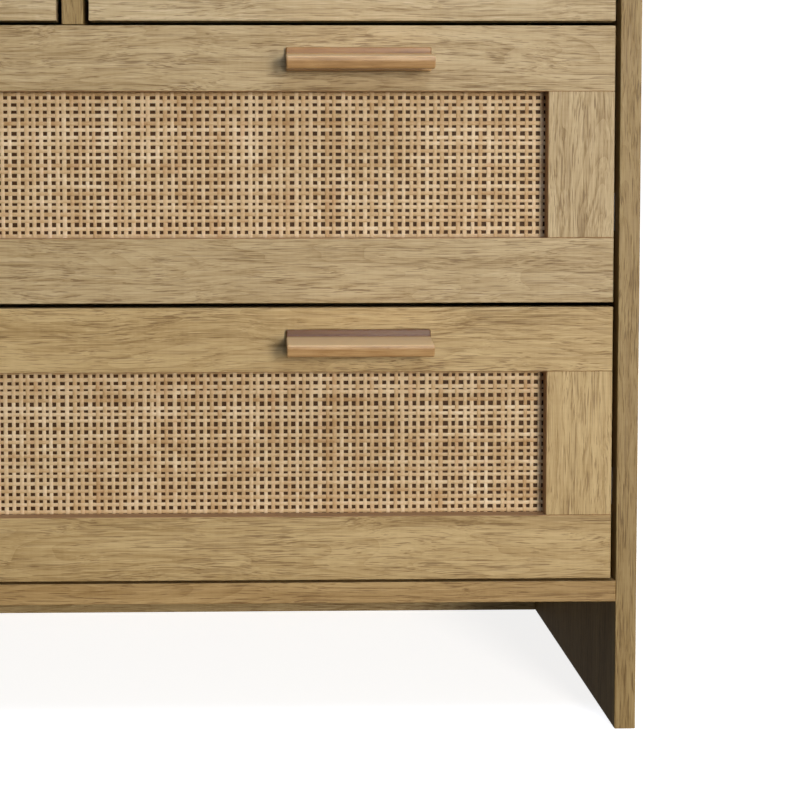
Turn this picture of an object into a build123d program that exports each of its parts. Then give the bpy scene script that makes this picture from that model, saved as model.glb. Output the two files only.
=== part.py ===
from build123d import *
import os

# A chest of drawers: two small drawers over two wide ones, in a carcass of 15 mm boards that
# stands on its side panels. Each drawer front is a four-board frame with woven cane in it.
#
# Millimetres. X is the width, +Y points to the rear, Z is up. The origin is on the floor, in the
# middle of the box around the closed dresser, handles included.

os.makedirs("parts", exist_ok=True)

# ---------------------------------------------------------------- driving dimensions

width = 800.0
depth = 400.0  # carcass, without the handles
height = 720.0
board = 15.0
leg_clearance = 93.0  # floor to the underside of the bottom board
back_thickness = 3.0
edge_break = 0.4  # small bevel on every board edge

front_height = 195.0
first_gap = 2.0  # between the bottom board and the lowest front
row_gap = 3.2
side_gap = 3.8  # between a front and the board beside it
rail_height = 46.0  # rails of a drawer front
stile_width = 47.0

cane_thickness = 2.0
backing_thickness = 3.0
cane_margin = 11.0  # how far the cane and its backing reach past the opening

box_board = 12.0
box_height = 140.0
box_length = 350.0
box_lift = 14.0  # underside of the drawer box above the front's lower edge
groove_lift = 10.0  # groove for the drawer bottom, above the box's underside
groove_depth = 5.0
bottom_thickness = 3.0

runner_gap = 12.7  # between the drawer box and the board beside it
runner_lift = 50.0  # middle of the runner above the box's underside
runner_length = 350.0
travel = 250.0

handle_length = 102.0
handle_projection = 36.0
handle_x = 200.0  # middle of a handle, either side of the centre line
handle_screw_pitch = 64.0

rail_depth = 60.0  # the two rails that carry the divider
rail_setback = 18.0

# ---------------------------------------------------------------- places worked out from them

front_y = -(depth + handle_projection) / 2 + handle_projection
rear_y = front_y + depth
rear_edge_y = rear_y - back_thickness
inner_x = width / 2 - board
bottom_z = leg_clearance + board
row_pitch = front_height + row_gap
row_z = [bottom_z + first_gap + row * row_pitch for row in range(3)]
rail_top = row_z[2] - 2.6
top_z = height - board
divider_face = board / 2

frame_back_y = front_y + board
backing_y = frame_back_y + cane_thickness
box_rear_y = frame_back_y + box_length
runner_y = frame_back_y + 2.0
front_rail_y = front_y + rail_setback
rear_rail_y = rear_edge_y - rail_depth
kick_y = rear_edge_y - board

# ---------------------------------------------------------------- helpers


def save(piece, node):
    """Label a finished piece and write its STEP file."""
    piece.part.label = node
    export_step(piece.part, f"parts/{node}.step")


def block(low, high, mode=Mode.ADD):
    """A box between two corners, in the active part."""
    with BuildSketch(Plane.XY.offset(low[2])) as outline:
        with Locations(((low[0] + high[0]) / 2, (low[1] + high[1]) / 2)):
            Rectangle(high[0] - low[0], high[1] - low[1])
    extrude(outline.sketch, amount=high[2] - low[2], mode=mode)


def rod(start, direction, radius, length, mode=Mode.ADD):
    """A cylinder from a point along a direction, in the active part."""
    with BuildSketch(Plane(origin=start, z_dir=direction)) as outline:
        Circle(radius)
    extrude(outline.sketch, amount=length, mode=mode)


def along(point, direction, distance):
    """The point moved by a distance along a unit direction."""
    return tuple(p + d * distance for p, d in zip(point, direction))


def reverse(direction):
    return tuple(-d for d in direction)


# ---------------------------------------------------------------- fixings of the carcass
# A fixing is a point on the face where two boards meet and the direction into the board whose
# end is held. A cam joint also has the direction in which its lock faces.

cam_radius = 7.5
cam_depth = 12.0
cam_setback = 24.0  # centre of the lock from the joint
bolt_radius = 3.0
bolt_seat = 11.0  # how deep the bolt is screwed into the other board
dowel_radius = 4.0
dowel_seat = 10.0
dowel_length = 30.0
fit_slack = 0.05

board_middle = board / 2
rail_middle_z = rail_top - board_middle
cam_rows = [front_y + 60, rear_edge_y - 60]
dowel_rows = [front_y + 110, rear_edge_y - 110]
cam_joints = []
dowel_joints = []
for side in (-1, 1):
    inward = (-side, 0, 0)
    face_x = side * inner_x
    for y in cam_rows:
        cam_joints.append(((face_x, y, leg_clearance + board_middle), inward, (0, 0, -1)))
        cam_joints.append(((side * (inner_x + board_middle), y, top_z), (0, 0, -1), inward))
    for y in dowel_rows:
        dowel_joints.append(((face_x, y, leg_clearance + board_middle), inward))
        dowel_joints.append(((side * (inner_x + board_middle), y, top_z), (0, 0, -1)))
    for y in (front_rail_y, rear_rail_y):
        cam_joints.append(((face_x, y + 18, rail_middle_z), inward, (0, 0, -1)))
        dowel_joints.append(((face_x, y + 44, rail_middle_z), inward))
    cam_joints.append(((face_x, kick_y + board_middle, 62), inward, (0, 1, 0)))
    dowel_joints.append(((face_x, kick_y + board_middle, 30), inward))
    dowel_joints.append(((side * 180, kick_y + board_middle, leg_clearance), (0, 0, -1)))
for y in (front_rail_y + rail_depth / 2, rear_rail_y + rail_depth / 2):
    dowel_joints.append(((0, y, rail_top), (0, 0, 1)))
    dowel_joints.append(((0, y, top_z), (0, 0, -1)))

nail_radius = 0.8
nail_length = 20.0
nail_head_radius = 2.0
nail_head = 0.8
nail_points = []
for step in range(6):
    for side in (-1, 1):
        nail_points.append((side * (inner_x + board_middle), 110 + step * 118))
for x in (-230, -80, 80, 230):
    nail_points.append((x, leg_clearance + board_middle))
    nail_points.append((x, top_z + board_middle))
for z in (560, 640):
    nail_points.append((0, z))

screw_radius = 1.7
screw_reach = 7.0
screw_head_radius = 3.2
screw_head = 0.9
web = 1.2  # sheet thickness of the runners
screw_rows = [runner_y + 36, runner_y + 165, runner_y + 300]

# Each bay: the board faces either side of a drawer, and the row it stands in.
bays = {
    "bottom": (-inner_x, inner_x, 0),
    "middle": (-inner_x, inner_x, 1),
    "top_left": (-inner_x, -divider_face, 2),
    "top_right": (divider_face, inner_x, 2),
}


def runner_places():
    """The face each runner is screwed to: x of the face, direction off it, height of its middle."""
    for left, right, row in bays.values():
        middle_z = row_z[row] + box_lift + runner_lift
        yield left, 1, middle_z
        yield right, -1, middle_z


with BuildPart() as fixing_bores:
    for point, inward, lock_face in cam_joints:
        rod(along(point, inward, -bolt_seat), inward, bolt_radius + fit_slack, bolt_seat)
        rod(point, inward, bolt_radius + 1, cam_setback)
        lock_mouth = along(along(point, inward, cam_setback), lock_face, board_middle)
        rod(lock_mouth, reverse(lock_face), cam_radius + fit_slack, cam_depth + 0.2)
    for point, inward in dowel_joints:
        seat = dowel_seat + 0.5
        bore_length = dowel_length + 1
        rod(along(point, inward, -seat), inward, dowel_radius + fit_slack, bore_length)
    for x, z in nail_points:
        rod((x, rear_y, z), (0, -1, 0), nail_radius + fit_slack, nail_length + 0.2)
        rod((x, rear_y, z), (0, -1, 0), nail_head_radius + fit_slack, nail_head)
    for face_x, off, middle_z in runner_places():
        for y in screw_rows:
            rod((face_x, y, middle_z), (-off, 0, 0), screw_radius + fit_slack, screw_reach + 0.2)


def carcass_board(low, high):
    """A board with broken edges and the bores that the fixings leave in it."""
    with BuildPart() as piece:
        block(low, high)
        chamfer(piece.edges(), edge_break)
        add(fixing_bores.part, mode=Mode.SUBTRACT)
    return piece


# ---------------------------------------------------------------- carcass

side_panel_left = carcass_board((-width / 2, front_y, 0), (-inner_x, rear_edge_y, top_z))
save(side_panel_left, "side_panel_left")

side_panel_right = carcass_board((inner_x, front_y, 0), (width / 2, rear_edge_y, top_z))
save(side_panel_right, "side_panel_right")

top_panel = carcass_board((-width / 2, front_y, top_z), (width / 2, rear_edge_y, height))
save(top_panel, "top_panel")

bottom_panel = carcass_board(
    (-inner_x, front_y, leg_clearance), (inner_x, rear_edge_y, bottom_z)
)
save(bottom_panel, "bottom_panel")

rear_kick_rail = carcass_board((-inner_x, kick_y, 0), (inner_x, rear_edge_y, leg_clearance))
save(rear_kick_rail, "rear_kick_rail")

front_rail = carcass_board(
    (-inner_x, front_rail_y, rail_top - board), (inner_x, front_rail_y + rail_depth, rail_top)
)
save(front_rail, "front_rail")

rear_rail = carcass_board(
    (-inner_x, rear_rail_y, rail_top - board), (inner_x, rear_edge_y, rail_top)
)
save(rear_rail, "rear_rail")

divider = carcass_board(
    (-divider_face, front_y, rail_top), (divider_face, rear_edge_y, top_z)
)
save(divider, "divider")

with BuildPart() as back_panel:
    back_inset = 1.5
    block(
        (-width / 2 + back_inset, rear_edge_y, leg_clearance),
        (width / 2 - back_inset, rear_y, height - back_inset),
    )
    add(fixing_bores.part, mode=Mode.SUBTRACT)
save(back_panel, "back_panel")

# ---------------------------------------------------------------- fasteners of the carcass

with BuildPart() as cam_locks:
    for point, inward, lock_face in cam_joints:
        centre = along(point, inward, cam_setback)
        mouth = along(centre, lock_face, board_middle)
        with BuildSketch(Plane(origin=mouth, z_dir=reverse(lock_face), x_dir=inward)):
            Circle(cam_radius)
        extrude(amount=cam_depth)
        with BuildSketch(Plane(origin=mouth, z_dir=reverse(lock_face), x_dir=inward)):
            Rectangle(7.0, 1.4)
            Rectangle(1.4, 7.0)
        extrude(amount=2.4, mode=Mode.SUBTRACT)
        throat_start = along(centre, inward, -cam_radius - 1)
        rod(throat_start, inward, bolt_radius + 0.6, cam_radius + 5, mode=Mode.SUBTRACT)
save(cam_locks, "cam_locks")

with BuildPart() as cam_bolts:
    for point, inward, lock_face in cam_joints:
        rod(along(point, inward, -bolt_seat), inward, bolt_radius, bolt_seat + 16)
        rod(along(point, inward, 16), inward, bolt_radius - 1.2, 6.5)
        rod(along(point, inward, 22), inward, bolt_radius, 4)
save(cam_bolts, "cam_bolts")

with BuildPart() as wood_dowels:
    for point, inward in dowel_joints:
        rod(along(point, inward, -dowel_seat), inward, dowel_radius, dowel_length)
    chamfer(wood_dowels.edges().filter_by(GeomType.CIRCLE), 0.8)
save(wood_dowels, "wood_dowels")

with BuildPart() as back_panel_nails:
    for x, z in nail_points:
        rod((x, rear_y, z), (0, -1, 0), nail_head_radius, nail_head)
        rod((x, rear_y, z), (0, -1, 0), nail_radius, nail_length)
save(back_panel_nails, "back_panel_nails")

# ---------------------------------------------------------------- runners
# A runner is a wide channel on the carcass, a narrower one on the drawer, and between them a
# cage of balls that rolls half as far as the drawer. `off` points from the carcass to the drawer.

outer_half = 13.5
outer_reach = 9.5
inner_half = 9.0
inner_start = 4.5
ball_radius = 1.5
ball_level = (outer_half - web + inner_half) / 2
ball_off = 6.4
cage_length = 100.0
cage_sheet = 0.6
cage_web_off = 2.4
cage_reach = 8.4
balls_in_a_row = 5


def channel(face_x, off, middle_z, start_y, length, web_off, lip_off, half, sheet):
    """A C channel along Y. Its web stands web_off from the face and its lips reach to lip_off."""
    inside_off = web_off + sheet if lip_off > web_off else web_off - sheet
    near, far = sorted((face_x + off * web_off, face_x + off * lip_off))
    block((near, start_y, middle_z - half), (far, start_y + length, middle_z + half))
    hollow_near, hollow_far = sorted((face_x + off * inside_off, face_x + off * lip_off))
    block(
        (hollow_near, start_y, middle_z - half + sheet),
        (hollow_far, start_y + length, middle_z + half - sheet),
        mode=Mode.SUBTRACT,
    )


with BuildPart() as cabinet_runners:
    for face_x, off, middle_z in runner_places():
        channel(
            face_x, off, middle_z, runner_y, runner_length, 0, outer_reach, outer_half, web
        )
        for y in screw_rows:
            screw_axis = (off, 0, 0)
            rod((face_x, y, middle_z), screw_axis, screw_radius + 0.3, web, mode=Mode.SUBTRACT)
save(cabinet_runners, "cabinet_runners")

with BuildPart() as runner_screws:
    for face_x, off, middle_z in runner_places():
        for y in screw_rows:
            shank_start = (face_x + off * web, y, middle_z)
            rod(shank_start, (-off, 0, 0), screw_radius, web + screw_reach)
            rod(shank_start, (off, 0, 0), screw_head_radius, screw_head)
save(runner_screws, "runner_screws")

# ---------------------------------------------------------------- drawers

# Outline of a pull, as (distance out from the drawer front, distance below the front's top edge)
# with the corner radius of each point: back block, ledge, rounded nose, finger groove under it.
pull_outline = [
    ((0, 15.4), 0),
    ((5, 15.4), 1.0),
    ((5, 20.4), 2.0),
    ((handle_projection, 24.0), 1.8),
    ((handle_projection, 27.0), 6.0),
    ((handle_projection - 1.6, 32.4), 2.0),
    ((28, 32.4), 1.2),
    ((26.5, 26.6), 2.4),
    ((10, 26.2), 3.0),
    ((9, 32.4), 0.8),
    ((0, 32.4), 0),
]
pull_screw_drop = 24.6
pull_screw_radius = 2.0
pull_screw_head = 4.0


def drawer(prefix, left, right, row, handle_centres):
    """All pieces of one drawer, in the bay between the board faces left and right."""
    low_z = row_z[row]
    high_z = low_z + front_height
    front_left = left + side_gap
    front_right = right - side_gap
    open_left = front_left + stile_width
    open_right = front_right - stile_width
    open_low = low_z + rail_height
    open_high = high_z - rail_height
    box_left = left + runner_gap
    box_right = right - runner_gap
    box_low = low_z + box_lift
    box_high = box_low + box_height
    groove_low = box_low + groove_lift
    groove_high = groove_low + bottom_thickness + 0.2
    screw_z = high_z - pull_screw_drop
    screw_xs = []
    for centre in handle_centres:
        screw_xs += [centre - handle_screw_pitch / 2, centre + handle_screw_pitch / 2]

    with BuildPart() as front_rails:
        block((front_left, front_y, low_z), (front_right, frame_back_y, open_low))
        block((front_left, front_y, open_high), (front_right, frame_back_y, high_z))
        chamfer(front_rails.edges(), edge_break)
        block(
            (box_left, frame_back_y - groove_depth, groove_low),
            (box_right, frame_back_y, groove_high),
            mode=Mode.SUBTRACT,
        )
        for x in screw_xs:
            hole = (x, front_y, screw_z)
            rod(hole, (0, 1, 0), pull_screw_radius + 0.2, board, mode=Mode.SUBTRACT)
    save(front_rails, f"{prefix}_front_rails")

    with BuildPart() as front_stiles:
        block((front_left, front_y, open_low), (open_left, frame_back_y, open_high))
        block((open_right, front_y, open_low), (front_right, frame_back_y, open_high))
        chamfer(front_stiles.edges(), edge_break)
    save(front_stiles, f"{prefix}_front_stiles")

    with BuildPart() as cane_panel:
        block(
            (open_left - cane_margin, frame_back_y, open_low - cane_margin),
            (open_right + cane_margin, backing_y, open_high + cane_margin),
        )
    save(cane_panel, f"{prefix}_cane_panel")

    with BuildPart() as backing_board:
        block(
            (open_left - cane_margin, backing_y, open_low - cane_margin),
            (open_right + cane_margin, backing_y + backing_thickness, open_high + cane_margin),
        )
    save(backing_board, f"{prefix}_backing_board")

    with BuildPart() as box_sides:
        block((box_left, frame_back_y, box_low), (box_left + box_board, box_rear_y, box_high))
        block((box_right - box_board, frame_back_y, box_low), (box_right, box_rear_y, box_high))
        chamfer(box_sides.edges(), edge_break)
        block(
            (box_left + box_board - groove_depth, frame_back_y, groove_low),
            (box_right - box_board + groove_depth, box_rear_y - box_board / 2, groove_high),
            mode=Mode.SUBTRACT,
        )
    save(box_sides, f"{prefix}_box_sides")

    with BuildPart() as box_back:
        block(
            (box_left + box_board, box_rear_y - box_board, box_low),
            (box_right - box_board, box_rear_y, box_high),
        )
        chamfer(box_back.edges(), edge_break)
        block(
            (box_left, box_rear_y - box_board, groove_low),
            (box_right, box_rear_y - box_board + groove_depth, groove_high),
            mode=Mode.SUBTRACT,
        )
    save(box_back, f"{prefix}_box_back")

    with BuildPart() as box_bottom:
        tuck = groove_depth - 0.5
        block(
            (box_left + box_board - tuck, frame_back_y - tuck, groove_low),
            (
                box_right - box_board + tuck,
                box_rear_y - box_board + tuck,
                groove_low + bottom_thickness,
            ),
        )
    save(box_bottom, f"{prefix}_box_bottom")

    with BuildPart() as handles:
        for centre in handle_centres:
            with BuildSketch(Plane.YZ.offset(centre - handle_length / 2)):
                with BuildLine():
                    FilletPolyline(
                        *[(front_y - out, high_z - drop) for (out, drop), radius in pull_outline],
                        radius=[radius for point, radius in pull_outline],
                        close=True,
                    )
                make_face()
            extrude(amount=handle_length)
        nose_y = front_y - handle_projection / 2
        ends = handles.edges().filter_by(Plane.YZ).filter_by(lambda e: e.center().Y < nose_y)
        chamfer(ends, 0.7)
        for x in screw_xs:
            hole = (x, front_y, screw_z)
            rod(hole, (0, -1, 0), pull_screw_radius + fit_slack, 8.5, mode=Mode.SUBTRACT)
    save(handles, f"{prefix}_handles")

    with BuildPart() as handle_screws:
        for x in screw_xs:
            head = (x, frame_back_y, screw_z)
            rod(head, (0, -1, 0), pull_screw_radius, board + 8)
            rod(head, (0, 1, 0), pull_screw_head, 2.4)
            with BuildSketch(Plane(origin=along(head, (0, 1, 0), 2.4), z_dir=(0, -1, 0))):
                Rectangle(4.6, 1.0)
                Rectangle(1.0, 4.6)
            extrude(amount=1.4, mode=Mode.SUBTRACT)
    save(handle_screws, f"{prefix}_handle_screws")

    middle_z = box_low + runner_lift
    with BuildPart() as drawer_runners:
        for face_x, off in ((left, 1), (right, -1)):
            channel(
                face_x, off, middle_z, runner_y, runner_length,
                runner_gap, inner_start, inner_half, web,
            )
    save(drawer_runners, f"{prefix}_drawer_runners")

    # Closed, the cage waits half the travel behind the front end, so that it ends up there.
    cage_y = runner_y + travel / 2
    ball_pitch = cage_length / balls_in_a_row
    cage_half = ball_level + cage_sheet / 2
    with BuildPart() as ball_cages:
        for face_x, off in ((left, 1), (right, -1)):
            channel(
                face_x, off, middle_z, cage_y, cage_length,
                cage_web_off, cage_reach, cage_half, cage_sheet,
            )
            for level in (-ball_level, ball_level):
                for ball in range(balls_in_a_row):
                    ball_x = face_x + off * ball_off
                    ball_y = cage_y + (ball + 0.5) * ball_pitch
                    under_sheet = (ball_x, ball_y, middle_z + level - cage_sheet)
                    pocket = cage_sheet * 2
                    rod(under_sheet, (0, 0, 1), ball_radius + 0.15, pocket, mode=Mode.SUBTRACT)
                    with Locations((ball_x, ball_y, middle_z + level)):
                        Sphere(ball_radius)
    save(ball_cages, f"{prefix}_ball_cages")


drawer("bottom", *bays["bottom"], (-handle_x, handle_x))
drawer("middle", *bays["middle"], (-handle_x, handle_x))
drawer("top_left", *bays["top_left"], (-handle_x,))
drawer("top_right", *bays["top_right"], (handle_x,))
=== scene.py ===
# %% [markdown]
# # A cane-fronted dresser
#
# The dresser is two small drawers over two wide ones, in a case of 15 mm boards. The packed
# model already holds every board, runner and fastener at its real size. This lesson gives those
# pieces their finishes, weaves the cane that the model only marks as a flat sheet, and sets up
# the floor, the light and the camera.

# %% Load the frame and keep its box
import math

import bpy
import numpy as np
from mathutils import Euler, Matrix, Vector


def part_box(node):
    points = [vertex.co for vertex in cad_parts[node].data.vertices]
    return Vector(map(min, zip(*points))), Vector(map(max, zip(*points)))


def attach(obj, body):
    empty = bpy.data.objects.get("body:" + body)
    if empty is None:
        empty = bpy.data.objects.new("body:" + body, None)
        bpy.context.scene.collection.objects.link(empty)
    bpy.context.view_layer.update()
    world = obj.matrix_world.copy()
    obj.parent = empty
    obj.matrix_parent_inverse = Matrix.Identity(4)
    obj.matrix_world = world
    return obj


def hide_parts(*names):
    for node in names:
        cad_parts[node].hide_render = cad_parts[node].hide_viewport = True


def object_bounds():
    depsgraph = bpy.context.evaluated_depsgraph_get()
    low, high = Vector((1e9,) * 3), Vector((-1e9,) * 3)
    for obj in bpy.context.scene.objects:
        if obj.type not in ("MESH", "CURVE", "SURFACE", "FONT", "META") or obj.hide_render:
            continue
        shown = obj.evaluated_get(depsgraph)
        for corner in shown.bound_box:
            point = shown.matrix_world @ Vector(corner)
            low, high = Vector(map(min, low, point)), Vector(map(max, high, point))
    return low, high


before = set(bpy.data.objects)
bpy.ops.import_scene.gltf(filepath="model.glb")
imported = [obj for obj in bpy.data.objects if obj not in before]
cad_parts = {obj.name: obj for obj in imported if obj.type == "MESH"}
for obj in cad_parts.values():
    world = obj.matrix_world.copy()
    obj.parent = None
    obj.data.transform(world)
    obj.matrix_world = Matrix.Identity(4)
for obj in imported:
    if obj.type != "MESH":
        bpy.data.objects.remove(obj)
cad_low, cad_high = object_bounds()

MM = 0.001
DRAWERS = ("bottom", "middle", "top_left", "top_right")
print("frame box", [round(v, 4) for v in (*cad_low, *cad_high)])

# %% [markdown]
# ## The camera
#
# The view is of the lower right corner, almost square on to the fronts. A camera in front of the
# middle of the dresser with a strong lens shift would draw it with no turn at all, but every
# other view keeps that shift and would lose the dresser over the edge. So the camera stands
# nearer to the corner, gets a small shift, and a few degrees of turn and tilt do the rest.

# %% Camera
CAMERA_X = 0.130
CAMERA_HEIGHT = 0.385
CAMERA_DISTANCE = 1.300  # from the plane of the drawer fronts
CAMERA_YAW = 1.34  # degrees to the right
CAMERA_PITCH = 3.73  # degrees down
CAMERA_ROLL = -0.09
CAMERA_LENS = 82.85  # mm, on a sensor 36 mm wide
CAMERA_SHIFT = (0.122, -0.107)

front_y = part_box("side_panel_right")[0].y
camera_data = bpy.data.cameras.new("corner_camera")
camera_data.sensor_width = 36.0
camera_data.lens = CAMERA_LENS
camera_data.shift_x, camera_data.shift_y = CAMERA_SHIFT
camera = bpy.data.objects.new("corner_camera", camera_data)
bpy.context.scene.collection.objects.link(camera)
camera.location = (CAMERA_X, front_y - CAMERA_DISTANCE, CAMERA_HEIGHT)
turn = Euler((math.radians(90 - CAMERA_PITCH), 0, math.radians(-CAMERA_YAW)))
roll = Euler((0, 0, math.radians(CAMERA_ROLL)))
camera.rotation_euler = (turn.to_matrix() @ roll.to_matrix()).to_euler()
bpy.context.scene.camera = camera
print("camera", [round(v, 3) for v in camera.location], "lens", CAMERA_LENS, "mm")

# %% [markdown]
# ## Colours and nodes
#
# Colours are written as the hex values a paint chart would give, and one function turns them
# into the linear numbers a shader works with. One more function adds a node with its settings
# and links and hands back an output, so a material reads as a list of steps. Every pattern
# starts from the size of a real mark in millimetres: the place on the piece is measured in
# millimetres too, then divided by that size, so noise at scale 1 draws marks that big.

# %% Colour and node helpers
MIX = {"data_type": "RGBA", "out": 2}  # a Mix node for colours takes its inputs as 0, 6 and 7


def colour(hex_code):
    """Linear RGBA from an sRGB hex code such as "#AD9670"."""
    channels = [int(hex_code[i : i + 2], 16) / 255 for i in (1, 3, 5)]
    linear = [c / 12.92 if c <= 0.04045 else ((c + 0.055) / 1.055) ** 2.4 for c in channels]
    return (*linear, 1.0)


def put(tree, kind, inputs=(), out=0, stops=(), **settings):
    """Adds a node with its settings and links, and returns one of its outputs.

    inputs are numbers, hex colours or other nodes' outputs, in order or by name. stops are the
    (place, hex colour) pairs of a colour ramp.
    """
    node = tree.nodes.new("ShaderNode" + kind)
    for name, value in settings.items():
        setattr(node, name, value)
    pairs = inputs.items() if isinstance(inputs, dict) else enumerate(inputs)
    for name, value in pairs:
        socket = node.inputs[name]
        if isinstance(value, bpy.types.NodeSocket):
            tree.links.new(value, socket)
        else:
            socket.default_value = colour(value) if isinstance(value, str) else value
    for number, (place, hex_code) in enumerate(stops):
        elements = node.color_ramp.elements
        stop = elements[number] if number < len(elements) else elements.new(place)
        stop.position = place
        stop.color = colour(hex_code)
    return node.outputs[out] if node.outputs else node


print("linear oak", [round(c, 3) for c in colour("#B7A076")])

# %% What every finish shares
SEED_STEP = (171.3, 93.7, 57.1)  # mm


def new_finish(name, seed):
    """A material, its empty tree, and the place on the piece in millimetres.

    The seed moves the place, so no two boards show the same part of a pattern.
    """
    material = bpy.data.materials.new(name)
    material.use_nodes = True
    tree = material.node_tree
    tree.nodes.clear()
    where = put(tree, "TexCoord", out="Object")
    scale = [1 / MM] * 3
    offset = [seed * step for step in SEED_STEP]
    place = put(tree, "VectorMath", [where, scale, offset], operation="MULTIPLY_ADD")
    return material, tree, place


def marks(tree, place, size_mm, detail=2.0, roughness=0.5):
    """Natural marks of a real size: size_mm is their length along X, Y and Z."""
    scaled = put(tree, "VectorMath", [place, [1 / s for s in size_mm]], operation="MULTIPLY")
    noise = {"Vector": scaled, "Scale": 1.0, "Detail": detail, "Roughness": roughness}
    return put(tree, "TexNoise", noise, "Fac")


def along_axis(tree, what, axis):
    """Where a point lies ("Object") or how its face looks ("Normal") along one axis, 0 to 2."""
    return put(tree, "SeparateXYZ", [put(tree, "TexCoord", out=what)], axis)


def weigh(tree, start, parts):
    """Adds up (pattern, weight) pairs onto a starting number."""
    total = start
    for pattern, weight in parts:
        total = put(tree, "Math", [pattern, weight, total], operation="MULTIPLY_ADD")
    return total


def surface(tree, base, rough, height, bump_mm, **others):
    """Joins the patterns to a Principled shader. others are more of its inputs, by name."""
    normal = put(tree, "Bump", {"Height": height, "Distance": bump_mm * MM})
    inputs = {"Base Color": base, "Roughness": rough, "Normal": normal}
    inputs |= {name.replace("_", " "): value for name, value in others.items()}
    shader = put(tree, "BsdfPrincipled", inputs)
    put(tree, "OutputMaterial", [shader])


def give(node_name, material):
    """Puts a material on a node's own slots."""
    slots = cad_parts[node_name].data.materials
    if not slots:
        slots.append(material)
    for slot in range(len(slots)):
        slots[slot] = material


print("helpers ready for", len(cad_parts), "nodes")

# %% [markdown]
# ## Oak-print foil
#
# The boards are particleboard wrapped in a printed paper foil that copies pale oak. Its matt
# lacquer gives a soft sheen and never a mirror. The print has broad bands of tone, thin streaks,
# short dark pores that gather in patches, long threads, and the faint steps of growth rings.
# Real planks would show end grain; foil does not, so one pattern drawn through the board is
# enough. Its grain runs the long way of each board, so the direction is an argument. The sawn
# edges inside a drawer front's frame show the brown core of the board. A mask by place and by
# the way a face looks paints those, with no need to cut the mesh up.

# %% Oak foil
OAK_LIGHT = "#CEBA93"
OAK_MIDDLE = "#B7A076"
OAK_DARK = "#8F7549"
OAK_PORE = "#745834"
OAK_GLINT = "#DDCCA8"
CORE_LIGHT = "#B58D62"
CORE_DARK = "#8E6A45"
RING_COUNT = 17.0


def oak_foil(name, grain, seed, shade, raw_edge=None):
    """Oak-print foil. grain is "x" or "z"; shade multiplies the print with each board's tone,
    which on the drawer fronts and the kick rail also holds painted light and shade.

    raw_edge is (axis, low, high) in metres: faces between them that look along the axis are bare.
    """
    material, tree, place = new_finish(name, seed)
    axis = "xyz".index(grain)

    def along(length, across):
        """The size of a mark with its length on the grain."""
        return [length if i == axis else across for i in range(3)]

    # The grain wanders 7 mm either way from a straight line.
    drift = marks(tree, place, along(130, 32))
    sway = weigh(tree, -7.0, [(drift, 14.0)])
    push = put(tree, "CombineXYZ", {i: sway for i in range(3) if i != axis})
    bent = put(tree, "VectorMath", [place, push], operation="ADD")

    # Marks of the print: length on the grain and width across it, in millimetres.
    bands = marks(tree, bent, along(380, 20))
    streaks = marks(tree, bent, along(120, 3.4), 2.0, 0.55)
    # Oak fibres are a tenth of a millimetre wide; these are drawn six times as coarse, to show.
    fibres = marks(tree, bent, along(44, 0.6), 3.0, 0.65)
    hairs = marks(tree, bent, along(20, 0.65))
    threads = marks(tree, bent, along(100, 1.15), 1.0)
    patches = marks(tree, bent, along(70, 10))
    hills = marks(tree, bent, along(330, 38), 1.0)
    # A slow hill cut into steps: each growth ring darkens slowly, then ends at once.
    steps = put(tree, "Math", [hills, RING_COUNT], operation="MULTIPLY")
    steps = put(tree, "Math", [steps], operation="FRACT")
    rings = put(tree, "Math", [steps, 3.0], operation="POWER")
    sawn = marks(tree, place, along(2.2, 26), 1.0)

    layers = [(bands, 0.52), (streaks, 0.50), (fibres, 0.60), (rings, -0.12), (sawn, 0.07)]
    tone = weigh(tree, -0.28, layers)
    tones = [(0.24, OAK_DARK), (0.47, OAK_MIDDLE), (0.72, OAK_LIGHT)]
    wood = put(tree, "ValToRGB", [tone], stops=tones)
    # Hairs past a limit are pores, and the limit drops inside a patch.
    depth = weigh(tree, -0.745, [(hairs, 1.0), (patches, 0.34)])
    clamped = {"operation": "MULTIPLY_ADD", "use_clamp": True}
    pores = put(tree, "Math", [depth, 12.0, 0.0], **clamped)
    glints = put(tree, "Math", [hairs, -9.0, 3.6], **clamped)
    lines = put(tree, "Math", [threads, 14.0, -8.54], **clamped)
    coats = ((pores, 0.64, OAK_PORE), (glints, 0.50, OAK_GLINT), (lines, 0.32, OAK_PORE))
    for mask, strength, paint in coats:
        cover = put(tree, "Math", [mask, strength], operation="MULTIPLY")
        wood = put(tree, "Mix", {0: cover, 6: wood, 7: paint}, **MIX)
    wood = put(tree, "Mix", {0: 1.0, 6: wood, 7: shade}, blend_type="MULTIPLY", **MIX)

    if raw_edge:
        edge_axis, low, high = raw_edge
        where = along_axis(tree, "Object", edge_axis)
        facing = along_axis(tree, "Normal", edge_axis)
        facing = put(tree, "Math", [facing], operation="ABSOLUTE")
        bare = put(tree, "Math", [facing, 0.6], operation="GREATER_THAN")
        above = put(tree, "Math", [where, low], operation="GREATER_THAN")
        below = put(tree, "Math", [where, high], operation="LESS_THAN")
        for limit in (above, below):
            bare = put(tree, "Math", [bare, limit], operation="MULTIPLY")
        core = put(tree, "ValToRGB", [fibres], stops=[(0.3, CORE_DARK), (0.7, CORE_LIGHT)])
        wood = put(tree, "Mix", {0: bare, 6: wood, 7: core}, **MIX)

    height = weigh(tree, 0.0, [(fibres, 0.35), (pores, -0.8)])
    rough = weigh(tree, 0.42, [(fibres, 0.16)])
    surface(tree, wood, rough, height, 0.10, IOR=1.5, Specular_IOR_Level=0.35)
    return material


print("oak foil can be made")

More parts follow.
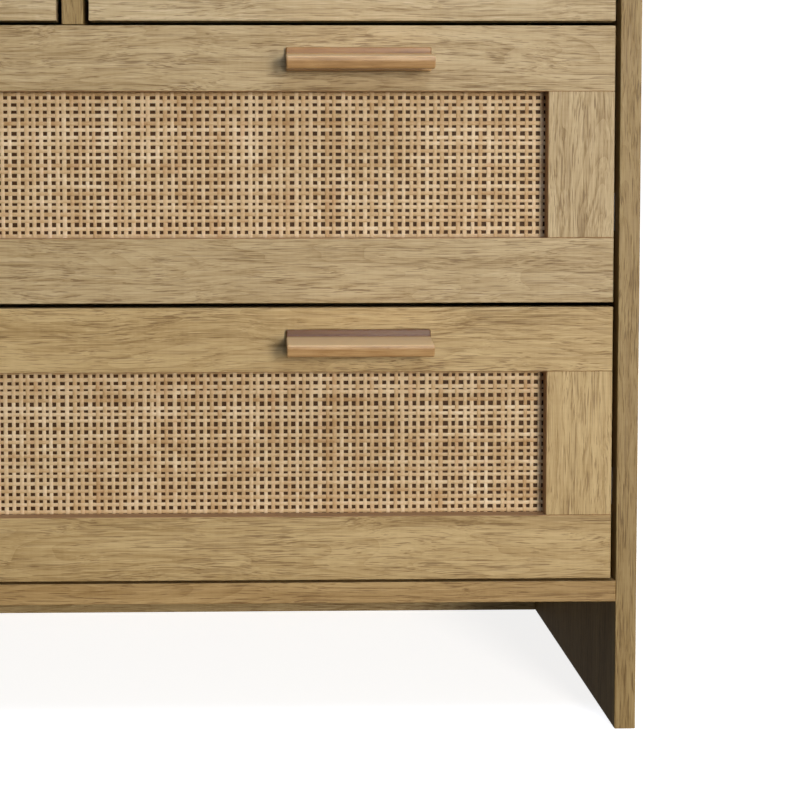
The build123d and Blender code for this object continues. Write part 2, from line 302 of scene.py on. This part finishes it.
# %% Oak foil on the case
SIDE_SHADE = "#CCC0A1"
FLAT_SHADE = "#E6D5B6"
CASE_BOARDS = {
    "side_panel_left": ("z", SIDE_SHADE),
    "side_panel_right": ("z", SIDE_SHADE),
    "divider": ("z", SIDE_SHADE),
    "top_panel": ("x", FLAT_SHADE),
    "bottom_panel": ("x", FLAT_SHADE),
    # Painted light: the kick rail is painted paler than the other flat boards, to lift the shade
    # it stands in under the bottom panel.
    "rear_kick_rail": ("x", "#FFFAEC"),
    "front_rail": ("x", FLAT_SHADE),
    "rear_rail": ("x", FLAT_SHADE),
}
for seed, (node_name, (grain, shade)) in enumerate(CASE_BOARDS.items(), start=1):
    give(node_name, oak_foil(f"oak_foil_{node_name}", grain, seed, shade))
print("oak foil on", len(CASE_BOARDS), "case boards")

# %% Oak foil on the drawer fronts
EDGE_REACH = 0.6 * MM  # how far past an opening a face still counts as its edge
# Painted light: the small drawers are painted palest and coolest, a painted sheen of the cool
# light above; the bottom drawer is painted warmest.
FRONT_PAINTED_SHEEN = {
    "bottom": "#F8EFD9",
    "middle": "#F3EFE7",
    "top_left": "#FFFFFF",
    "top_right": "#FFFFFF",
}
for seed, drawer in enumerate(DRAWERS, start=21):
    stile_low, stile_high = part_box(f"{drawer}_front_stiles")
    cane_low, cane_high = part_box(f"{drawer}_cane_panel")
    opening = (2, stile_low.z - EDGE_REACH, stile_high.z + EDGE_REACH)
    between = (0, cane_low.x + EDGE_REACH, cane_high.x - EDGE_REACH)
    shade = FRONT_PAINTED_SHEEN[drawer]
    give(f"{drawer}_front_rails", oak_foil(f"oak_foil_{drawer}_rails", "x", seed, shade, opening))
    stiles = oak_foil(f"oak_foil_{drawer}_stiles", "z", seed + 10, shade, between)
    give(f"{drawer}_front_stiles", stiles)
print("oak foil on the fronts of", len(DRAWERS), "drawers")

# %% [markdown]
# ## Hardboard and drawer board
#
# The back of the case, the drawer bottoms and the boards behind the cane are hardboard: wood
# fibre pressed flat, brown, smooth on the show face with a faint felted mottle. The boards behind
# the cane are painted almost black, far darker than the same board elsewhere: painted shade, for
# the holes of the weave. The drawer boxes are board in a plain paper foil, paler than the fronts,
# with only a soft long grain. Both are flat, so a mottle and a shallow bump are all they need.

# %% Hardboard and drawer board


def hardboard(name, dark, light, seed):
    """Pressed wood fibre: a soft mottle of short fibres lying every way."""
    material, tree, place = new_finish(name, seed)
    # Bundles of fibre are about 3 mm long.
    mottle = marks(tree, place, (3, 3, 3), 3.0, 0.6)
    clouds = marks(tree, place, (60, 60, 60))
    tone = weigh(tree, 0.0, [(mottle, 0.6), (clouds, 0.4)])
    base = put(tree, "ValToRGB", [tone], stops=[(0.3, dark), (0.7, light)])
    rough = weigh(tree, 0.56, [(mottle, 0.12)])
    surface(tree, base, rough, mottle, 0.06, IOR=1.48, Specular_IOR_Level=0.3)
    return material


def drawer_foil(name, seed):
    """Plain paper foil with a soft long grain, for the drawer boxes."""
    material, tree, place = new_finish(name, seed)
    grain = marks(tree, place, (160, 160, 5), 3.0, 0.55)
    fine = marks(tree, place, (40, 40, 0.9), 3.0, 0.6)
    tone = weigh(tree, 0.0, [(grain, 0.6), (fine, 0.4)])
    base = put(tree, "ValToRGB", [tone], stops=[(0.34, "#BCA582"), (0.66, "#D2BE9C")])
    rough = weigh(tree, 0.46, [(fine, 0.1)])
    surface(tree, base, rough, fine, 0.04, IOR=1.5, Specular_IOR_Level=0.3)
    return material


# Painted shade: the board behind the cane is painted almost black, for the shade in the holes.
cane_backing_painted_shade = hardboard("painted_shade_hardboard_behind_the_cane", "#3C2200", "#4C2D02", 1)
plain_hardboard = hardboard("hardboard_back_and_bottoms", "#8A6B45", "#A08158", 2)
box_foil = drawer_foil("drawer_box_foil", 5)
give("back_panel", plain_hardboard)
for drawer in DRAWERS:
    give(f"{drawer}_backing_board", cane_backing_painted_shade)
    give(f"{drawer}_box_bottom", plain_hardboard)
    give(f"{drawer}_box_sides", box_foil)
    give(f"{drawer}_box_back", box_foil)
print("hardboard and drawer board done")

# %% [markdown]
# ## Rubberwood pulls
#
# The pulls are solid rubberwood under clear lacquer: a warm tan, straighter and plainer than the
# oak print, with fine brown pores and now and then a pinkish or darker streak. Two masks paint
# light and shade into the tone besides the grain. Faces that look up, such as the flat top of the
# ledge, are painted paler: a painted highlight of the light above. The back of the pull, in the
# corner within a few millimetres of the drawer, is painted darker: painted shade, darkest on the
# bottom drawer. The pull could be cut up to carry those tones, but it is one piece of wood, so the
# masks do it: one by the way a face looks, one by how far it stands from the drawer. The lacquer
# gives a soft line of light along the rounded nose.
# The grain runs along the pull.

# %% Rubberwood
RUBBERWOOD_TONES = [(0.36, "#8F6A3F"), (0.52, "#B18856"), (0.70, "#CEA875")]
RUBBERWOOD_PORE = "#80552E"
RUBBERWOOD_PAINTED_TOP_LIGHT = "#F4D3A0"
PAINTED_SHADE_REACH = (7.5 * MM, 5.2 * MM)  # distances from the drawer over which its tone fades in


def rubberwood(name, seed, corner_painted_shade):
    """Clear-lacquered rubberwood with its grain along x."""
    material, tree, place = new_finish(name, seed)
    # Pores are 0.2 mm wide; fibres and pores are drawn up to three times as coarse, to show.
    streaks = marks(tree, place, (60, 4, 4), 3.0, 0.6)
    lengths = marks(tree, place, (26, 60, 60))
    fibres = marks(tree, place, (18, 0.6, 0.6), 3.0, 0.6)
    tone = weigh(tree, 0.0, [(streaks, 0.55), (fibres, 0.3), (lengths, 0.25)])
    base = put(tree, "ValToRGB", [tone], stops=RUBBERWOOD_TONES)
    pores = put(tree, "Math", [marks(tree, place, (5, 0.35, 0.35), 1.0), 4.5, -2.88],
                operation="MULTIPLY_ADD", use_clamp=True)
    base = put(tree, "Mix", {0: pores, 6: base, 7: RUBBERWOOD_PORE}, **MIX)

    # Painted light: faces that look up are painted paler, a painted highlight of the light above.
    facing = along_axis(tree, "Normal", 2)
    span = {"Value": facing, "From Min": 0.3, "From Max": 0.9, "To Max": 0.82}
    painted_top_light = put(tree, "MapRange", span)
    base = put(tree, "Mix", {0: painted_top_light, 6: base, 7: RUBBERWOOD_PAINTED_TOP_LIGHT}, **MIX)
    # Painted shade: the back of the pull, within a few millimetres of the drawer, is painted
    # darker.
    depth = along_axis(tree, "Object", 1)
    near, far = (front_y - distance for distance in PAINTED_SHADE_REACH)
    painted_corner_mask = put(tree, "MapRange", {"Value": depth, "From Min": near, "From Max": far})
    base = put(tree, "Mix", {0: painted_corner_mask, 6: base, 7: corner_painted_shade}, blend_type="MULTIPLY", **MIX)
    rough = weigh(tree, 0.30, [(fibres, 0.14)])
    surface(tree, base, rough, fibres, 0.05, IOR=1.5, Coat_Weight=0.15, Coat_Roughness=0.24)
    return material


# Painted shade in the corner behind each ledge, darkest on the bottom drawer.
PULL_CORNER_PAINTED_SHADE = {
    "bottom": "#83642F",
    "middle": "#CBB78A",
    "top_left": "#CBB78A",
    "top_right": "#C4B58C",
}
for seed, drawer in enumerate(DRAWERS, start=3):
    give(f"{drawer}_handles", rubberwood(f"rubberwood_{drawer}_pulls", seed, PULL_CORNER_PAINTED_SHADE[drawer]))
print("rubberwood on the pulls of", len(PULL_CORNER_PAINTED_SHADE), "drawers")

# %% [markdown]
# ## Metal fittings and dowels
#
# Runners are rolled strip with bright zinc plate, so they show fine lines along the strip and a
# faint blotch of passivation. Screws, bolts, nails and balls are plated too, but turned or headed,
# so their marks have no direction. Cam locks are die-cast zinc, greyer and grainier. Dowels are
# raw beech. They are seen only with a drawer open, but then from close by, so each gets its own.

# %% Metals and beech


def metal(name, seed, dark, light, size_mm, rough_low, rough_high, bump_mm):
    """Plated or cast metal; the size of its marks says how it was made."""
    material, tree, place = new_finish(name, seed)
    lines = marks(tree, place, size_mm, 3.0, 0.6)
    clouds = marks(tree, place, (14, 14, 14))
    tone = weigh(tree, 0.0, [(lines, 0.5), (clouds, 0.5)])
    base = put(tree, "ValToRGB", [tone], stops=[(0.35, dark), (0.65, light)])
    rough = weigh(tree, rough_low, [(tone, rough_high - rough_low)])
    surface(tree, base, rough, lines, bump_mm, Metallic=1.0)
    return material


def beech(name, seed):
    """Raw beech rod: pale, with short darker flecks."""
    material, tree, place = new_finish(name, seed)
    flecks = marks(tree, place, (4, 1.2, 1.2))
    base = put(tree, "ValToRGB", [flecks], stops=[(0.35, "#C49A6C"), (0.62, "#DDBB8E")])
    rough = weigh(tree, 0.6, [(flecks, 0.1)])
    surface(tree, base, rough, flecks, 0.05, IOR=1.5, Specular_IOR_Level=0.3)
    return material


# Rolling lines run along the strip. Real ones are ten times as fine as these.
strip_marks = (0.5, 60, 0.5)
head_marks = (1.5, 1.5, 1.5)
grit_marks = (0.8, 0.8, 0.8)
rolled_zinc = metal("zinc_plated_strip", 7, "#B4B6B9", "#D2D4D7", strip_marks, 0.40, 0.56, 0.01)
plated_steel = metal("zinc_plated_steel", 8, "#A8AAAE", "#C9CBCF", head_marks, 0.38, 0.54, 0.01)
cast_zinc = metal("die_cast_zinc", 9, "#8E9093", "#ABADB0", grit_marks, 0.48, 0.66, 0.03)
give("cabinet_runners", rolled_zinc)
give("cam_locks", cast_zinc)
give("wood_dowels", beech("beech_dowel", 10))
for node_name in ("runner_screws", "cam_bolts", "back_panel_nails"):
    give(node_name, plated_steel)
for drawer in DRAWERS:
    give(f"{drawer}_drawer_runners", rolled_zinc)
    give(f"{drawer}_ball_cages", plated_steel)
    give(f"{drawer}_handle_screws", plated_steel)
print("metals and beech done")

# %% [markdown]
# ## Woven cane
#
# The drawer fronts hold open cane webbing: flat strands of peeled rattan, about 2.6 mm wide and
# well under a millimetre thick, in a plain over-and-under weave, with dark square holes between
# them. A pattern in a material would look right from the front and flat from the side, and its
# exported mesh would be a plain sheet. So each strand is a closed ribbon of its own, which rises
# and dips at every crossing. Hand-set webbing is uneven: strands differ in width and shade,
# stand a little off their rows, and lean.

# %% Cane finish
CANE_TONES = [(0.0, "#9A7343"), (0.3, "#BD996A"), (0.6, "#D4B78C"), (1.0, "#EFDAB8")]
CANE_BLUSH = "#C9976F"


def peeled_cane(name, seed):
    """Waxy peeled cane: each strand has its own shade, and stains cross the strands."""
    material, tree, place = new_finish(name, seed)
    # Stains are 1 to 2 cm across. Fibres are drawn ten times as coarse as real ones, to show.
    strand = put(tree, "NewGeometry", out="Random Per Island")
    stains = marks(tree, place, (17, 17, 11), 3.0, 0.6)
    fibre = marks(tree, place, (1.4, 1.4, 1.4))
    tone = weigh(tree, -0.25, [(strand, 0.42), (stains, 0.9), (fibre, 0.3)])
    base = put(tree, "ValToRGB", [tone], stops=CANE_TONES)
    blush = put(tree, "Math", [marks(tree, place, (9, 30, 23)), 1.5, -0.84],
                operation="MULTIPLY_ADD", use_clamp=True)
    base = put(tree, "Mix", {0: blush, 6: base, 7: CANE_BLUSH}, **MIX)
    rough = weigh(tree, 0.38, [(fibre, 0.2)])
    surface(tree, base, rough, fibre, 0.04, IOR=1.5, Specular_IOR_Level=0.4)
    return material


cane = peeled_cane("peeled_cane", 4)
print("cane finish with", len(CANE_TONES), "tones")

# %% Strand geometry
PITCH_X = 5.5 * MM  # between upright strands
PITCH_Z = 4.95 * MM  # between level strands
UPRIGHT_WIDTH = 2.75 * MM
LEVEL_WIDTH = 2.5 * MM
STRAND_THICKNESS = 0.62 * MM
WEAVE_RISE = 0.36 * MM
# Outline of a ribbon: (across, out), as parts of its width and thickness.
RIBBON = [(-0.5, -0.5), (0.5, -0.5), (0.5, 0.15), (0.28, 0.5), (-0.28, 0.5), (-0.5, 0.15)]
STEPS_PER_CROSSING = (-0.22, 0.22)  # two points hold the strand flat over each crossing
ROW_SCATTER = 0.055  # how far a strand stands off its row, as a part of the pitch
WIDTH_SPREAD = (0.88, 1.13)


def ribbon(path, across_axis, width):
    """Vertices and faces of one closed ribbon along path, an array of points (x, y, z)."""
    rings = []
    for across, out in RIBBON:
        ring = path.copy()
        ring[:, across_axis] += across * width
        ring[:, 1] -= out * STRAND_THICKNESS
        rings.append(ring)
    vertices = np.stack(rings, axis=1).reshape(-1, 3)
    count, sides = len(path), len(RIBBON)
    faces = []
    for step in range(count - 1):
        for side in range(sides):
            a = step * sides + side
            b = step * sides + (side + 1) % sides
            faces.append((a, b, b + sides, a + sides))
    faces.append(tuple(range(sides - 1, -1, -1)))
    faces.append(tuple(range((count - 1) * sides, count * sides)))
    return vertices, faces


def strand_rows(low, high, pitch, width, rng):
    """Middles and widths of the strands between two edges, uneven as in hand-set webbing."""
    count = round((high - low) / pitch)
    middles = low + (np.arange(count) + 0.5) * (high - low) / count
    middles = middles + rng.normal(0, ROW_SCATTER * pitch, count)
    widths = width * rng.uniform(*WIDTH_SPREAD, count)
    return middles, widths


def strand_path(fixed_axis, fixed, lean, crossings, ends, parity, middle_y):
    """Points along one strand: over, under, over; it drifts by lean from end to end."""
    run_axis = 2 if fixed_axis == 0 else 0
    pitch = crossings[1] - crossings[0]
    run = [ends[0]]
    rise = [0.0]
    for number, crossing in enumerate(crossings):
        side = 1 if (number + parity) % 2 else -1
        for step in STEPS_PER_CROSSING:
            run.append(crossing + step * pitch)
            rise.append(side * WEAVE_RISE)
    run.append(ends[1])
    rise.append(0.0)
    run = np.array(run)
    path = np.zeros((len(run), 3))
    path[:, run_axis] = run
    path[:, fixed_axis] = fixed + lean * (run - ends[0]) / (ends[1] - ends[0])
    path[:, 1] = middle_y - np.array(rise)
    return path


print("strands", round(UPRIGHT_WIDTH / MM, 2), "and", round(LEVEL_WIDTH / MM, 2), "mm wide")

# %% Weave a webbing for each drawer front
SHEET_MARGIN = 11 * MM  # the flat sheet's own reach past the opening
TUCK = 6 * MM  # the webbing's reach past the opening, held behind the frame
UPRIGHT_LEAN = 0.35 * MM
LEVEL_LEAN = 0.3 * MM


def weave(drawer, seed):
    """The webbing of one drawer front, in the place of its flat CAD sheet."""
    rng = np.random.default_rng(seed)
    sheet_low, sheet_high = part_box(f"{drawer}_cane_panel")
    margin = SHEET_MARGIN - TUCK
    left, right = sheet_low.x + margin, sheet_high.x - margin
    low, high = sheet_low.z + margin, sheet_high.z - margin
    middle_y = (sheet_low.y + sheet_high.y) / 2
    uprights, upright_widths = strand_rows(left, right, PITCH_X, UPRIGHT_WIDTH, rng)
    levels, level_widths = strand_rows(low, high, PITCH_Z, LEVEL_WIDTH, rng)
    layers = (
        (0, uprights, upright_widths, levels, (low, high), UPRIGHT_LEAN, 0),
        (2, levels, level_widths, uprights, (left, right), LEVEL_LEAN, 1),
    )
    vertices, faces, start = [], [], 0
    for across_axis, rows, widths, crossings, ends, spread, first in layers:
        for number, (row, width) in enumerate(zip(rows, widths)):
            lean = rng.normal(0, spread)
            path = strand_path(across_axis, row, lean, crossings, ends, number + first, middle_y)
            points, quads = ribbon(path, across_axis, width)
            vertices.append(points)
            faces += [tuple(i + start for i in face) for face in quads]
            start += len(points)
    mesh = bpy.data.meshes.new(f"{drawer}_cane_webbing")
    mesh.from_pydata(np.concatenate(vertices).tolist(), [], faces)
    mesh.materials.append(cane)
    mesh.shade_smooth()
    mesh.set_sharp_from_angle(angle=math.radians(50))
    piece = bpy.data.objects.new(f"{drawer}_cane_webbing", mesh)
    bpy.context.scene.collection.objects.link(piece)
    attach(piece, f"{drawer}_drawer")
    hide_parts(f"{drawer}_cane_panel")
    print(drawer, "webbing:", len(uprights), "by", len(levels), "strands,", len(faces), "faces")
    return piece


for seed, drawer in enumerate(DRAWERS, start=11):
    weave(drawer, seed)

# %% [markdown]
# ## Floor and light
#
# A studio would stand the dresser on a sheet of white paper that bends up behind it. A bare
# white world would be plainer still, but nothing in it would catch the dresser's shadow. Here the
# sheet bends up all round, so every view has the same ground. It glows a little, more so
# far from the dresser, which keeps the shadow near it soft and pale and hides the bend. It is
# left out of bounced light and reflections, as if black cloth lay under the camera, because the
# insides of the legs and the gaps between the drawers have to stay deep.

# %% Floor
SHEET_RADIUS = 8.0  # metres, as are the next two
SHEET_HEIGHT = 7.0
BEND_RADIUS = 1.5
BEND_STEPS = 12
AROUND = 48  # vertices in each ring


def white_paper(name):
    """Matt white paper whose glow grows with the distance from the dresser, in millimetres."""
    material, tree, place = new_finish(name, 0)
    reach = put(tree, "VectorMath", [place], "Value", operation="LENGTH")
    span = {"Value": reach, "From Min": 900, "From Max": 3200, "To Min": 0.84, "To Max": 1.02}
    glow = put(tree, "MapRange", span, interpolation_type="SMOOTHSTEP")
    fibre = marks(tree, place, (0.8, 0.8, 0.8))
    base = put(tree, "ValToRGB", [fibre], stops=[(0.3, "#F0F0EF"), (0.7, "#F4F4F3")])
    rough = weigh(tree, 0.85, [(fibre, 0.1)])
    surface(tree, base, rough, fibre, 0.02, Emission_Color="#FFFFFF", Emission_Strength=glow)
    return material


def studio_sheet():
    """Rings of vertices: flat floor, round bend, upright wall."""
    flat = SHEET_RADIUS - BEND_RADIUS
    rings = [(flat, 0.0)]
    for step in range(1, BEND_STEPS + 1):
        angle = math.pi / 2 * step / BEND_STEPS
        rings.append((flat + BEND_RADIUS * math.sin(angle), BEND_RADIUS * (1 - math.cos(angle))))
    rings.append((SHEET_RADIUS, SHEET_HEIGHT))
    angles = [2 * math.pi * i / AROUND for i in range(AROUND)]
    vertices = [(0, 0, 0)]
    vertices += [(r * math.cos(a), r * math.sin(a), z) for r, z in rings for a in angles]
    faces = [(0, 1 + i, 1 + (i + 1) % AROUND) for i in range(AROUND)]
    for ring in range(len(rings) - 1):
        start = 1 + ring * AROUND
        for i in range(AROUND):
            j = (i + 1) % AROUND
            faces.append((start + i, start + AROUND + i, start + AROUND + j, start + j))
    mesh = bpy.data.meshes.new("studio_sheet")
    mesh.from_pydata(vertices, [], faces)
    mesh.materials.append(white_paper("studio_paper"))
    mesh.shade_smooth()
    sheet = bpy.data.objects.new("studio_sheet", mesh)
    bpy.context.scene.collection.objects.link(sheet)
    sheet.visible_diffuse = False
    sheet.visible_glossy = False
    return sheet


studio_sheet()
print("studio sheet", 2 * SHEET_RADIUS, "m across")

# %% [markdown]
# The key light is small and stands to the right at the height of the drawers, so a pull throws
# its shadow to the left and hardly down. A soft cool light above gives the top rows their pale
# sheen and fades towards the floor. A weak warm one near the floor opens up the undersides of
# the pulls; it too stands to the right, where it cannot reach the inside of the leg. The rest
# are behind the plane of the fronts: they light the top, the sides and the back for the other
# views and leave the fronts alone.

# %% Lights
middle = (cad_low + cad_high) / 2


def soft_light(name, place, width, height, power, hex_code):
    """A rectangular light aimed at the middle of the dresser, in metres and watts."""
    data = bpy.data.lights.new(name, "AREA")
    data.shape = "RECTANGLE"
    data.size, data.size_y = width, height
    data.energy = power
    data.color = colour(hex_code)[:3]
    light = bpy.data.objects.new(name, data)
    light.location = place
    light.rotation_euler = (middle - Vector(place)).to_track_quat("-Z", "Y").to_euler()
    bpy.context.scene.collection.objects.link(light)


soft_light("key", (1.05, -3.2, 0.68), 0.6, 0.6, 51, "#FFF8EE")
soft_light("overhead", (0.4, -1.1, 1.7), 0.9, 0.6, 11.5, "#D2E2FF")
soft_light("low_fill", (0.95, -2.4, 0.08), 0.5, 0.3, 13, "#FFF1DC")
soft_light("top", (0.0, 0.3, 2.5), 1.2, 0.8, 22, "#FFFFFF")
soft_light("left_side", (-3.0, 0.9, 1.5), 1.6, 1.6, 75, "#FFFFFF")
soft_light("right_side", (3.0, 0.6, 1.3), 1.6, 1.6, 70, "#FFFFFF")
soft_light("back_light", (-0.6, 3.4, 1.9), 2.4, 1.8, 70, "#FFFFFF")
world = bpy.data.worlds.new("studio_air")
world.use_nodes = True
air = world.node_tree.nodes["Background"].inputs
air["Color"].default_value = (1, 1, 1, 1)
air["Strength"].default_value = 0.11
bpy.context.scene.world = world
bpy.context.scene.view_settings.view_transform = "Standard"
print("lights placed")
